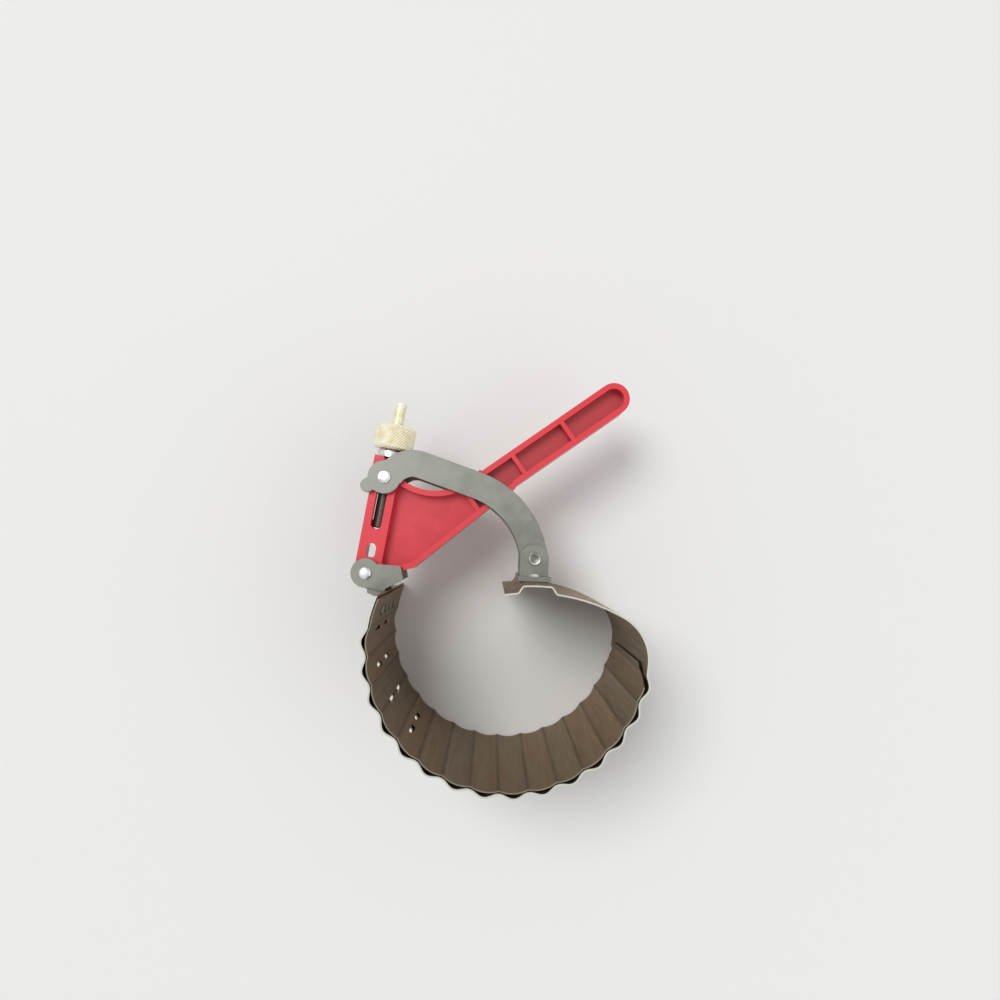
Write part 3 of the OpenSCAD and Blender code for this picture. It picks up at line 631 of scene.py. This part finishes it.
def buildScrew():
    low, high, top = screw["barrelLow"], screw["barrelHigh"], screw["top"]
    barrel, rod, chamfer, tip = screw["barrelRadius"], screw["crest"], screw["chamfer"], screw["tipChamfer"]
    core = turnedPiece("adjustingScrew", [
        (0, screw["rodLow"]), (rod - chamfer, screw["rodLow"]), (rod, screw["rodLow"] + chamfer), (rod, low),
        (barrel - chamfer, low), (barrel, low + chamfer), (barrel, high - chamfer), (barrel - chamfer, high),
        (screw["core"], high), (screw["core"], top - tip), (screw["core"] - tip, top), (0, top)], screw["sides"])
    turns = int((top - chamfer - screw["threadFrom"]) / screw["pitch"]) - 1
    clearSelection()
    bpy.ops.mesh.primitive_circle_add(vertices=4, radius=1.0, fill_type="NOTHING")
    thread = bpy.context.object
    thread.name = "rolledThread"
    root = screw["core"] - screw["threadSink"]
    rootHalf = screw["pitch"] * screw["rootShare"]
    corners = [(screw["crest"], screw["crestHalf"]), (root, rootHalf), (root, -rootHalf),
               (screw["crest"], -screw["crestHalf"])]
    for vertex, (across, up) in zip(thread.data.vertices, corners):
        vertex.co = (mm(across), 0.0, mm(screw["threadFrom"] + screw["pitch"] / 2 + up))
    applyModifier(thread, "SCREW", "threadTurns",
                  {"axis": "Z", "angle": math.tau, "screw_offset": mm(screw["pitch"]), "iterations": turns,
                   "steps": screw["threadSteps"], "render_steps": screw["threadSteps"], "use_merge_vertices": False})
    bpy.ops.object.mode_set(mode="EDIT")
    bpy.ops.mesh.select_all(action="DESELECT")
    bpy.ops.mesh.select_mode(type="EDGE")
    bpy.ops.mesh.select_non_manifold()
    bpy.ops.mesh.fill_holes(sides=0)
    faceOutwards()
    makeActive(core)
    thread.select_set(True)
    bpy.ops.object.join()
    bakePlace(core, onScrew(0.0))
    finishPiece(core, yellowZinc, "adjuster", ["adjusting_screw"], 30.0)


buildScrew()
print("screw built")


# pivot rivets with domed heads; the end pivot's rivet is hollow at its front, where it was rolled over, and its lip
# lists radii and depths below the head's top
rivetHead = {"rimShare": 0.3, "domeSteps": 6, "sides": 48}
pivotRivet = {"shank": 1.75, "grip": 9.5, "headRadius": 2.6, "headHeight": 1.2}
endRivet = {"shank": 1.75, "grip": 11.3, "headRadius": 2.6, "headHeight": 1.2,
            "lip": ((2.444, 0.3), (2.236, 0.0), (2.05, 0.05), (1.9, 0.2), (1.8, 0.4), (1.7, 0.45), (0.0, 0.45))}
crossPin = {"shank": 2.0, "grip": 9.2, "headRadius": 2.7, "headHeight": 0.7}


def domedHead(rivet, side):
    base, rim = rivet["grip"], rivetHead["rimShare"]
    angles = [math.radians(90 * step / rivetHead["domeSteps"]) for step in range(rivetHead["domeSteps"])]
    dome = [(rivet["headRadius"] * math.cos(a), base + rivet["headHeight"] * (rim + (1 - rim) * math.sin(a)))
            for a in angles]
    points = [(rivet["shank"], base), (rivet["headRadius"], base)] + dome + [(0.0, base + rivet["headHeight"])]
    return [(radius, side * height) for radius, height in points]


def buildRivet(name, rivet, point, body, node):
    front = domedHead(rivet, 1)
    if "lip" in rivet:
        top = rivet["grip"] + rivet["headHeight"]
        front = front[:4] + [(radius, top - depth) for radius, depth in rivet["lip"]]  # the dome's foot stays
    piece = turnedPiece(name, list(reversed(domedHead(rivet, -1))) + front, rivetHead["sides"])
    bakePlace(piece, onPivot(point))
    finishPiece(piece, brightRivet, body, [node], 40.0)


buildRivet("leverPivotRivet", pivotRivet, layout["pivot"], "band", "pivot_rivet")
buildRivet("endPivotRivet", endRivet, layout["endPivot"], "end_bracket", "end_rivet")
buildRivet("crossPin", crossPin, layout["crank"], "adjuster", "cross_pin")
print("rivets built")

# pressed and moulded pieces with their edges broken: name, material, body, slot, width and segments of the edge
easing = {
    "lever": ("mouldedLever", redNylon, "lever", "red_plastic", 0.55, 3),
    "front_arm_plate": ("frontArm", zincPlate, "arm", "zinc", 0.35, 3),
    "rear_arm_plate": ("rearArm", zincPlate, "arm", "zinc", 0.35, 3),
    "lever_bracket": ("leverBracket", zincPlate, "band", "zinc", 0.4, 3),
    "end_bracket": ("endBracket", zincPlate, "end_bracket", "zinc", 0.4, 3),
    "thrust_collar": ("thrustCollar", brightRivet, "lever", "bright", 0.2, 2),
    "arm_spacer": ("armSpacer", brightRivet, "arm", "bright", 0.2, 2),
}
for node, (name, material, body, slotName, width, segments) in easing.items():
    easedCopy(node, name, material, body, width, segments)
print("eased pieces built")

# CAD nodes that keep their shape
keptNodes = {"lever_bracket_tacks": zincPlate, "pivot_washers": brightRivet, "pivot_bush": brightRivet,
             "end_bracket_tacks": brightRivet}
for node, material in keptNodes.items():
    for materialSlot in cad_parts[node].material_slots:
        materialSlot.material = material

# floor, light and camera
studio = {"floor": "#F1F1EF", "floorSize": 30.0, "floorRoughness": 0.7,
          "world": "#FFFFFF", "worldStrength": 0.42, "backdropStrength": 0.9,
          "keyFrom": (-0.30, 0.32, 0.80), "keyStrength": 1.5, "keySpread": 30.0,
          "fillFrom": (0.45, -0.25, 0.55), "fillStrength": 0.45, "fillSpread": 60.0}
view = {"place": (-0.00013, 0.01528, 0.346), "sensor": 36.0, "lens": 26.2, "shift": (0.008, 0.04), "clipStart": 0.01}


def buildStudio():
    clearSelection()
    bpy.ops.mesh.primitive_plane_add(size=studio["floorSize"], location=(0, 0, 0))
    floor = bpy.context.object
    floor.name = "paleFloor"
    material, tree = startMaterial("paleFloorPaint")[:2]
    shader = addNode(tree, "ShaderNodeBsdfPrincipled",
                     {"Base Color": hexToLinear(studio["floor"]), "Roughness": studio["floorRoughness"]})
    addNode(tree, "ShaderNodeOutputMaterial", links={"Surface": shader.outputs["BSDF"]})
    floor.data.materials.append(material)
    world = bpy.data.worlds.new("softWorld")
    world.use_nodes = True
    tree = world.node_tree
    background = tree.nodes["Background"]
    background.inputs["Color"].default_value = hexToLinear(studio["world"])
    # the eye, gloss and glass meet a pale backdrop, while the light that falls on the object stays plain
    ray = addNode(tree, "ShaderNodeLightPath")
    seen = addNode(tree, "ShaderNodeMath", {"operation": "MAXIMUM"},
                   {0: ray.outputs["Is Camera Ray"], 1: ray.outputs["Is Glossy Ray"]})
    seenOrThrough = addNode(tree, "ShaderNodeMath", {"operation": "MAXIMUM"},
                            {0: seen.outputs["Value"], 1: ray.outputs["Is Transmission Ray"]})
    strength = addNode(tree, "ShaderNodeMapRange",
                       {"To Min": studio["worldStrength"], "To Max": studio["backdropStrength"]},
                       {"Value": seenOrThrough.outputs["Value"]})
    tree.links.new(strength.outputs["Result"], background.inputs["Strength"])
    bpy.context.scene.world = world
    for name in ("key", "fill"):
        lamp = bpy.data.lights.new(name + "Light", "SUN")
        lamp.energy = studio[name + "Strength"]
        lamp.angle = math.radians(studio[name + "Spread"])
        holder = bpy.data.objects.new(name + "Light", lamp)
        holder.location = studio[name + "From"]
        aim = Vector((0, 0, mm(layout["midHeight"]))) - holder.location
        holder.rotation_euler = aim.to_track_quat("-Z", "Y").to_euler()
        bpy.context.scene.collection.objects.link(holder)


def buildCamera():
    lens = bpy.data.cameras.new("photoView")
    lens.sensor_width = view["sensor"]
    lens.lens = view["lens"]
    lens.shift_x, lens.shift_y = view["shift"]
    lens.clip_start = view["clipStart"]
    holder = bpy.data.objects.new("photoView", lens)
    holder.location = view["place"]
    bpy.context.scene.collection.objects.link(holder)
    bpy.context.scene.camera = holder


buildStudio()
buildCamera()
bpy.context.scene.view_settings.view_transform = "Standard"
print("studio ready")
